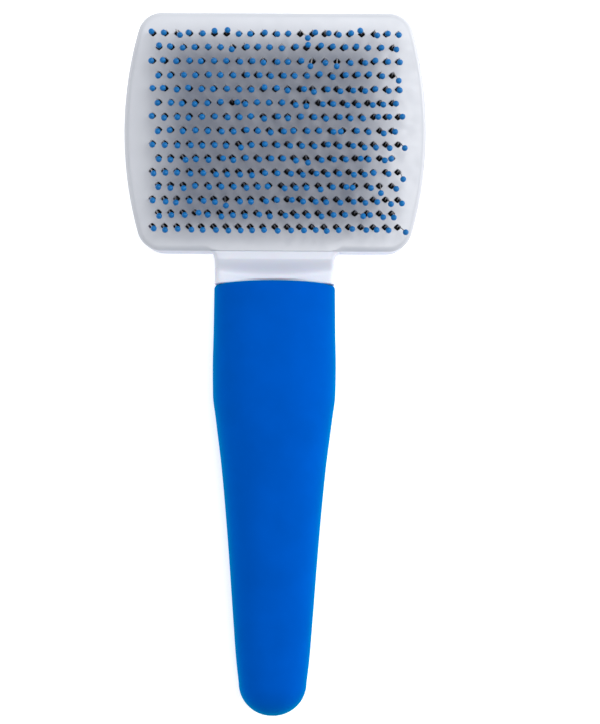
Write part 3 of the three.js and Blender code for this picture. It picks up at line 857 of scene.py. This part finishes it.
def squared(value):
    """Turns a cosine or sine into that of a slightly square oval."""
    return np.sign(value) * np.abs(value) ** (2 / GRIP_SQUARENESS)


def grip_ring(y, half_width, low_z, high_z, sides=96):
    """One section of the grip."""
    angles = 2 * math.pi * np.arange(sides) / sides
    x = half_width * squared(np.cos(angles))
    z = (low_z + high_z) / 2 - (high_z - low_z) / 2 * squared(np.sin(angles))
    return np.column_stack([x, np.full(sides, float(y)), z])


def make_grip(material):
    """The sleeve: a thin skin from its mouth over the swell to a round tail, hollow for the core."""
    lip = GRIP_STATIONS[:GRIP_LIP_STATIONS - 1]
    body = GRIP_STATIONS[GRIP_LIP_STATIONS - 1:]
    start_y = body[0, 0]
    end_y, end_half, end_low, end_high = body[-1]
    middle = (end_low + end_high) / 2
    depth = end_y - GRIP_LOW[1] - TAIL_MARGIN

    def section(y, inset):
        sizes = [smooth_through(body[:, 0], body[:, c], y) for c in (1, 2, 3)]
        return grip_ring(y, sizes[0] - inset, sizes[1] + inset, sizes[2] - inset)

    def tail(share):
        size = math.sqrt(max(1 - share**2, 0))
        half_height = (end_high - end_low) / 2 * size
        return grip_ring(end_y - depth * share, end_half * size, middle - half_height, middle + half_height)

    shares = np.sin(np.linspace(0, 1, 22)[1:-1] * math.pi / 2)
    outside = [tail(share) for share in [0.9997, *shares[::-1]]]
    outside += [section(y, 0) for y in np.linspace(end_y, start_y, 110)]
    outside += [grip_ring(*station) for station in lip[::-1]]
    mouth_y, mouth_half, mouth_low, mouth_high = GRIP_STATIONS[0]
    inset = SLEEVE_THICKNESS - LIP_ROUNDING
    hollow = [grip_ring(mouth_y, mouth_half - inset, mouth_low + inset, mouth_high - inset)]
    hollow += [section(y, SLEEVE_THICKNESS) for y in np.linspace(start_y - 1, end_y + 2, 40)]
    sleeve = solid(*loft([bow_mouth(ring) for ring in outside + hollow]))
    new_piece(sleeve, "grip_sleeve_fine", material, "housing", ["grip_sleeve"], sharp=50)


# ---------------------------------------------------------------- housing shells

BOSS_RADIUS = 2.6
CASE_HOLE_RADIUS = 1.2
NECK_HOLE_RADIUS = 1.4
CASE_HOLE_TOP_Z = 16
NECK_HOLE_TOP_Z = 15
CASE_HEAD_RADIUS = 2.2
CASE_HEAD_DEPTH = 1.9
NECK_HEAD_RADIUS = 2.7
NECK_HEAD_DEPTH = 2
SOCKET_RADIUS = 2.4
BACK_ROUNDING = 4.0


def neck_half_width(y):
    """The neck is straight, then flares in a quarter ellipse where it meets the head."""
    share = min(max(y - HEAD_LOW_Y + NECK_FLARE_LENGTH, 0) / NECK_FLARE_LENGTH, 1)
    return NECK_HALF_WIDTH + NECK_FLARE_WIDTH * (1 - math.sqrt(1 - share**2))


def neck_front_z(x, y):
    """The scoop behind the head: a crease at the shoulder, then a shallow dish that rises to the grip."""
    side = min(abs(x) / NECK_HALF_WIDTH, 1)
    reach = NECK_DIP_REACH * math.sqrt(1 - 0.5 * side**2)
    share = min(max(SHOULDER_Y - y, 0) / reach, 1)
    wave = math.sin(share * math.pi / 2)
    beyond = max(SHOULDER_Y - reach - y, 0) / (SHOULDER_Y - reach - NECK_START_Y)
    return FACE_Z - NECK_DIP * (0.35 * wave + 0.65 * wave**2) + NECK_RISE * min(beyond, 1) ** 1.5


def bowed_y(x, y):
    """The neck's sections near the grip follow the mouth's bow, with a wider gap in the middle."""
    near = min(max(1 - (y - NECK_START_Y) / MOUTH_BOW_REACH, 0), 1) ** 2
    middle_gap = NECK_GAP_MIDDLE * (1 - NECK_GAP_FALL * (abs(x) / NECK_HALF_WIDTH) ** 4)
    return y + near * (mouth_bow(x) + middle_gap)


def neck_surface(x, y, front, top_z):
    """Y and Z on the neck's front or back. top_z, if given, stands in for the scoop."""
    place_y = bowed_y(x, y)
    if not front:
        return place_y, NECK_BACK_Z
    return place_y, neck_front_z(x, place_y) if top_z is None else top_z


def neck_section(y, front, top_z=None):
    """One section of the neck's front or rear half, with round outer edges and a chamfer at the seam."""
    half = neck_half_width(y)
    edge = NECK_FRONT_EDGE if front else NECK_BACK_EDGE
    seam_z = FRONT_BOTTOM_Z if front else REAR_TOP_Z
    turn = 1 if front else -1
    inner = half - edge
    crown = [(x, *neck_surface(x, y, front, top_z)) for x in np.linspace(inner, -inner, 41)]
    corner_z = crown[0][2] - turn * edge
    side_y = bowed_y(half, y)
    side = [(half - SEAM_CHAMFER, side_y, seam_z), (half, side_y, seam_z + turn * SEAM_CHAMFER)]
    for angle in np.linspace(0, math.pi / 2, 8)[:-1]:
        x = inner + edge * math.cos(angle)
        side.append((x, bowed_y(x, y), corner_z + turn * edge * math.sin(angle)))
    mirror = [(-x, y, z) for x, y, z in side][::-1]
    return np.array(side + crown + mirror)


FLARE_ANGLES = np.linspace(0.08, math.pi / 2, 16)
FLARE_PLACES = [HEAD_LOW_Y - NECK_FLARE_LENGTH * (1 - math.sin(angle)) for angle in FLARE_ANGLES]


def neck_half(front):
    """The neck's front or rear half, from the grip's mouth into the head's wall."""
    wall_y = HEAD_LOW_Y + 1.4
    if front:
        dish = np.linspace(NECK_START_Y, SHOULDER_Y, 40)
        beyond = [y for y in FLARE_PLACES if SHOULDER_Y < y < SHOULDER_END_Y - 0.2]
        rings = [neck_section(y, True) for y in [*dish, *beyond, SHOULDER_END_Y - 0.12]]
        rings.append(neck_section(SHOULDER_END_Y, True, FACE_Z - 0.05))
        under = SHELL_TOP_Z - 0.02
        rings += [neck_section(y, True, under) for y in (SHOULDER_END_Y + 0.01, wall_y)]
    else:
        places = [*np.linspace(NECK_START_Y, HEAD_LOW_Y - NECK_FLARE_LENGTH, 20), *FLARE_PLACES, wall_y]
        rings = [neck_section(y, False) for y in places]
    return solid(*fanned(rings))


def core_half(node):
    """The CAD shell's half of the grip core, with a tongue that reaches into the neck."""
    low, high = box_mm(node)
    kept = solid(*block(low - 1, (high[0] + 1, CORE_END_Y, high[2] + 1)))
    low_z = max(low[2] + CORE_SEAM_MARGIN, NECK_BACK_Z + 1)
    high_z = min(high[2] - CORE_SEAM_MARGIN, CORE_TONGUE_TOP_Z)
    tongue_low = (-CORE_TONGUE_X, CORE_END_Y - 1, low_z)
    tongue_high = (CORE_TONGUE_X, NECK_START_Y + CORE_TONGUE_REACH, high_z)
    join(kept, [block(tongue_low, tongue_high)])
    return combine(copy_of(node), kept, "INTERSECT")


def copy_of(node):
    """A copy of a CAD node's mesh, welded, with nothing on it but its shape."""
    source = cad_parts[node].data
    points = [vertex.co / MM for vertex in source.vertices]
    return solid(points, [tuple(face.vertices) for face in source.polygons])


def neck_cutters():
    """The button's door and chamber, and the latch bolt's slot."""
    low_y, high_y = BUTTON_LOW[1], BUTTON_HIGH[1]
    door_x = BUTTON_HIGH[0] - BUTTON_LIP + GAP
    door_low = (-door_x, low_y + BUTTON_LIP - GAP, 0)
    door_high = (door_x, high_y - BUTTON_LIP + GAP, BUTTON_DOOR_TOP_Z)
    door = rounded_block(door_low, door_high, 1.3)
    chamber_x = BUTTON_HIGH[0] + GAP
    chamber_low = (-chamber_x, low_y - GAP, NECK_BACK_Z + BACK_WALL)
    chamber = block(chamber_low, (chamber_x, high_y + GAP, BOLT_LOW[2]))
    slot_low = (BOLT_LOW[0] - GAP, LATCH_SLOT_Y, BOLT_LOW[2] - GAP)
    slot_high = (BOLT_HIGH[0] + GAP, HEAD_LOW_Y + WALL + 1, BOLT_HIGH[2] + GAP)
    return [door, chamber, block(slot_low, slot_high)]


def cut(shape, pieces):
    """Cuts each (points, faces) out of shape."""
    for piece in pieces:
        combine(shape, solid(*piece), "DIFFERENCE")


def join(shape, pieces):
    """Joins each object or (points, faces) to shape."""
    for piece in pieces:
        combine(shape, piece if isinstance(piece, bpy.types.Object) else solid(*piece), "UNION")


def in_pairs(x, y, radius, low_z, high_z):
    """Two upright bars, left and right."""
    return [bar(side * x, y, radius, low_z, high_z) for side in (-1, 1)]


def make_front_shell(material):
    """The head's wall, the neck's front and the front half of the core, with two screw bosses."""
    z, top, c = FRONT_BOTTOM_Z, SHELL_TOP_Z, SEAM_CHAMFER
    levels = [(WALL, z), (c, z), (0, z + c), (0, top - c), (c, top), (WALL, top)]
    shell = solid(*loft([HEAD.ring(*level) for level in levels], closed=True))
    bosses = in_pairs(CASE_SCREW_X, HEAD_MID_Y, BOSS_RADIUS, z, top)
    join(shell, [neck_half(True), core_half("front_shell"), *bosses])
    holes = in_pairs(CASE_SCREW_X, HEAD_MID_Y, CASE_HOLE_RADIUS, z - 1, CASE_HOLE_TOP_Z)
    holes += in_pairs(*NECK_SCREW, NECK_HOLE_RADIUS, z - 1, NECK_HOLE_TOP_Z)
    cut(shell, holes + neck_cutters())
    new_piece(cleaned(shell), "front_shell_fine", material, "housing", ["front_shell"])


def make_rear_shell(material):
    """The back of the head with its window, the neck's back and the rear half of the core."""
    top, c = REAR_TOP_Z, SEAM_CHAMFER
    outer = []
    for angle in np.linspace(0, math.pi / 2, 12):
        outer.append((BACK_ROUNDING * (1 - math.sin(angle)), BACK_ROUNDING * (1 - math.cos(angle))))
    outer += [(0, top - c), (c, top), (WALL, top)]
    outer += [(WALL, FLOOR_Z + 1), (WALL + 0.35, FLOOR_Z + 0.3), (WALL + 1, FLOOR_Z)]
    window = [(-0.5, FLOOR_Z), (0, FLOOR_Z - 0.5), (0, 0.8), (-0.25, 0.22), (-0.8, 0)]
    rings = [HEAD.ring(*level) for level in outer] + [WINDOW.ring(*level) for level in window]
    shell = solid(*loft(rings, closed=True))
    bosses = in_pairs(CASE_SCREW_X, HEAD_MID_Y, BOSS_RADIUS, 1, top)
    sockets = [bar(x, y, SOCKET_RADIUS, FLOOR_Z - 1, FLOOR_Z + 2) for x, y in POST_PLACES]
    join(shell, [neck_half(False), core_half("rear_shell"), *bosses, *sockets])
    holes = in_pairs(CASE_SCREW_X, HEAD_MID_Y, CASE_HOLE_RADIUS, -1, top + 1)
    holes += in_pairs(CASE_SCREW_X, HEAD_MID_Y, CASE_HEAD_RADIUS, -1, CASE_HEAD_DEPTH)
    holes += in_pairs(*NECK_SCREW, NECK_HOLE_RADIUS, 0, top + 1)
    holes += in_pairs(*NECK_SCREW, NECK_HEAD_RADIUS, 0, NECK_BACK_Z + NECK_HEAD_DEPTH)
    holes += [bar(x, y, POST_RADIUS + GAP, FLOOR_Z, FLOOR_Z + 3) for x, y in POST_PLACES]
    cut(shell, holes + neck_cutters())
    new_piece(cleaned(shell), "rear_shell_fine", material, "housing", ["rear_shell"])


# ---------------------------------------------------------------- push plate and button

DISH_DEPTH = 1.3
DISH_FLOOR_INSET = 20.2
DISH_EDGE_INSET = 3.0
PUSH_RIBS = 5
PUSH_RIB_PITCH = 5.2
PUSH_RIB_REACH = 15


def make_push_plate(material):
    """The plate in the back: a shallow thumb dish with five ribs, hollow on its inner side."""
    low_z, high_z = PUSH_LOW[2], PUSH_HIGH[2]
    plate = Outline(PUSH_HIGH[0], PUSH_HALF_LENGTH, HEAD_MID_Y, 2.6)
    rings = []
    for inset in (DISH_FLOOR_INSET, 18, 14, 10, 7, 5, 3.6):
        share = (DISH_FLOOR_INSET - inset) / (DISH_FLOOR_INSET - DISH_EDGE_INSET)
        rings.append(plate.ring(inset, low_z + DISH_DEPTH * (1 - share**3)))
    round_edge = [(2.6, 0.25), (1.8, 0.05), (1.2, 0), (0.6, 0.12), (0.2, 0.42), (0, 0.9)]
    rings += [plate.ring(inset, low_z + rise) for inset, rise in round_edge]
    rings += [plate.ring(*level) for level in [(0, high_z - 0.2), (0.2, high_z), (2, high_z)]]
    hollow = [(2, 3.0), (4, 2.9), (DISH_FLOOR_INSET, 2.9)]
    rings += [plate.ring(inset, low_z + rise) for inset, rise in hollow]
    shape = solid(*loft(rings))

    ribs = []
    rib_levels = [(0.45, low_z + 0.35), (0.15, low_z + 0.5), (0, low_z + 0.85), (0, low_z + 2.2)]
    for k in range(PUSH_RIBS):
        step = k - PUSH_RIBS // 2
        y = HEAD_MID_Y + step * PUSH_RIB_PITCH
        rib = Outline(PUSH_RIB_REACH - 1.5 * abs(step), 0.75, y, 0.7, steps=(1, 6, 12))
        ribs.append(loft([rib.ring(*level) for level in rib_levels]))
    join(shape, [merged(ribs)])
    new_piece(shape, "push_plate_fine", material, "carriage", ["push_plate"])


def make_button(material):
    """The release button: a soft-edged cap with three ribs, the lip that stops it and the wedge inside."""
    low_z = BUTTON_LOW[2]
    middle_y = (BUTTON_LOW[1] + BUTTON_HIGH[1]) / 2
    half_length = (BUTTON_HIGH[1] - BUTTON_LOW[1]) / 2
    lip_z = NECK_BACK_Z + BACK_WALL + GAP
    lip_top_z = lip_z + BUTTON_LIP_THICKNESS
    outline = Outline(BUTTON_HIGH[0], half_length, middle_y, 2.2, steps=(8, 8, 16))
    cap_rounding = [(3.2, 0.35), (1.9, 0.42), (1.45, 0.58), (1.15, 0.85), (1.0, 1.25)]
    levels = [(inset, low_z + rise) for inset, rise in cap_rounding]
    levels += [(BUTTON_LIP, lip_z), (0.12, lip_z), (0, lip_z + 0.12)]
    levels += [(0, lip_top_z - 0.12), (0.12, lip_top_z)]
    button = solid(*loft([outline.ring(*level) for level in levels]))

    ribs = []
    for k in (-1, 0, 1):
        rib = Outline(4.6 - 0.5 * abs(k), 0.42, middle_y + 1.55 * k, 0.4, steps=(1, 5, 10))
        rib_levels = [(0.25, low_z), (0.08, low_z + 0.08), (0, low_z + 0.3), (0, low_z + 1.0)]
        ribs.append(loft([rib.ring(*level) for level in rib_levels]))
    base_z = lip_top_z + 0.2
    peak_z = base_z + WEDGE_HIGH_Y - WEDGE_LOW_Y
    root_z = lip_z + 0.2
    profile = [(WEDGE_LOW_Y, root_z), (WEDGE_HIGH_Y, root_z)]
    profile += [(WEDGE_HIGH_Y, peak_z - 0.3), (WEDGE_HIGH_Y - 0.2, peak_z - 0.15)]
    profile += [(WEDGE_LOW_Y + 0.15, base_z + 0.15), (WEDGE_LOW_Y, base_z - 0.1)]
    wedge = loft([np.array([(x, y, z) for y, z in profile]) for x in (-WEDGE_HALF_WIDTH, WEDGE_HALF_WIDTH)])
    join(button, [merged(ribs), wedge])
    new_piece(button, "release_button_fine", material, "release_button", ["release_button"])


# ---------------------------------------------------------------- screws, posts and springs

RING_PITCH = 0.4
RING_DEPTH = 0.16


def make_screw(node, shank_radius, material, body):
    """A pan-head screw with a cross recess and a ringed shank, in the place of its CAD node."""
    low, high = box_mm(node)
    x, y = (low[:2] + high[:2]) / 2
    radius = (high[0] - low[0]) / 2
    downwards = node.startswith("tray")
    head_z, end_z = (high[2], low[2]) if downwards else (low[2], high[2])
    turn = -1 if downwards else 1
    head = 0.45 * radius
    length = abs(end_z - head_z)
    profile = [(0.62 * radius, 0), (0.8 * radius, 0.04), (0.93 * radius, 0.12), (radius, 0.3 * head)]
    profile += [(0.96 * radius, 0.5 * head), (shank_radius, head)]
    depth = head + 0.5
    while depth < length - 1.0:
        profile += [(shank_radius, depth), (shank_radius - RING_DEPTH, depth + RING_PITCH / 2)]
        depth += RING_PITCH
    profile += [(0.8 * shank_radius, length - 0.5), (0.25 * shank_radius, length)]
    shape = solid(*loft([circle_ring(x, y, r, head_z + turn * d, 40) for r, d in profile]))

    slot = 0.13 * radius
    reach = 0.55 * radius
    low_z, high_z = sorted((head_z + turn * 0.55 * head, head_z - turn))
    for half_x, half_y in ((slot, reach), (reach, slot)):
        cut(shape, [block((x - half_x, y - half_y, low_z), (x + half_x, y + half_y, high_z))])
    new_piece(shape, f"{node}_fine", material, body, [node])


def make_screws(material):
    """Every screw, each with the radius of its shank."""
    for i in (1, 2):
        make_screw(f"head_screw_{i}", 0.9, material, "housing")
        make_screw(f"neck_screw_{i}", 1.1, material, "housing")
        make_screw(f"handle_screw_{i}", 1.1, material, "housing")
    for i in (1, 2, 3, 4):
        make_screw(f"tray_screw_{i}", 0.9, material, "carriage")


def coil(radius, wire_radius, turns, height, steps_per_turn=36, sides=8):
    """The rings of a coil spring up from z = 0, with its end turns closed up."""
    share = np.linspace(0, 1, turns * steps_per_turn + 1)
    closed = 0.5 / turns
    end_lift = 0.35 * wire_radius
    rise = np.clip((share - closed) / (1 - 2 * closed), 0, 1)
    z = wire_radius + rise * (height - 2 * wire_radius - 2 * end_lift)
    z += end_lift * np.clip(share / closed, 0, 1)
    z += end_lift * np.clip((share - 1 + closed) / closed, 0, 1)
    angles = 2 * math.pi * turns * share
    path = np.column_stack([radius * np.cos(angles), radius * np.sin(angles), z])
    outwards = np.column_stack([np.cos(angles), np.sin(angles), np.zeros(len(angles))])
    upwards = np.array([0, 0, 1.0])
    around = 2 * math.pi * np.arange(sides) / sides
    return [p + wire_radius * (np.outer(np.cos(around), out) + np.outer(np.sin(around), upwards))
            for p, out in zip(path, outwards)]


def make_posts_and_springs(material):
    """Four guide posts, each with its return spring, and the latch spring, lying along Y."""
    for i in (1, 2, 3, 4):
        name = f"guide_post_{i}"
        low, high = box_mm(name)
        x, y = (low[:2] + high[:2]) / 2
        post = solid(*bar(x, y, POST_RADIUS, low[2], high[2], 48, 0.2))
        new_piece(post, f"{name}_fine", material, "housing", [name])

        name = f"return_spring_{i}"
        low, high = box_mm(name)
        rings = coil(RETURN_SPRING_RADIUS, SPRING_WIRE, 4, high[2] - low[2])
        spring = solid(*loft([ring + (x, y, low[2]) for ring in rings]))
        new_piece(spring, f"{name}_fine", material, "housing", [name], sharp=60)

    low, high = box_mm("latch_spring")
    length = high[1] - low[1]
    middle_z = (low[2] + high[2]) / 2
    rings = coil(LATCH_SPRING_RADIUS, SPRING_WIRE, 5, length)
    lying = [np.column_stack([ring[:, 0], low[1] + ring[:, 2], middle_z - ring[:, 1]]) for ring in rings]
    spring = solid(*loft(lying))
    new_piece(spring, "latch_spring_fine", material, "housing", ["latch_spring"], sharp=60)
    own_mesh(spring)


# ---------------------------------------------------------------- run

white = white_plastic()
face_white = face_plastic()
rubber = grip_rubber()
blue = blue_plastic()
tips = pin_tips()
pad = pad_rubber()
grey = grey_plastic()
metal = steel("steel", (0.60, 0.61, 0.63), (0.18, 0.34))
wire_metal = steel("wire_steel", (0.42, 0.41, 0.41), (0.25, 0.4))

make_camera()
make_studio()
make_face_plate(face_white)
make_pins(wire_metal, tips, pad)
make_grip(rubber)
make_front_shell(white)
make_rear_shell(white)
make_push_plate(blue)
make_button(blue)
make_screws(metal)
make_posts_and_springs(metal)

# The pin tray and the latch bolt keep their CAD meshes
for node in ("pin_tray", "latch_bolt"):
    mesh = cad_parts[node].data
    mesh.materials.clear()
    mesh.materials.append(grey)
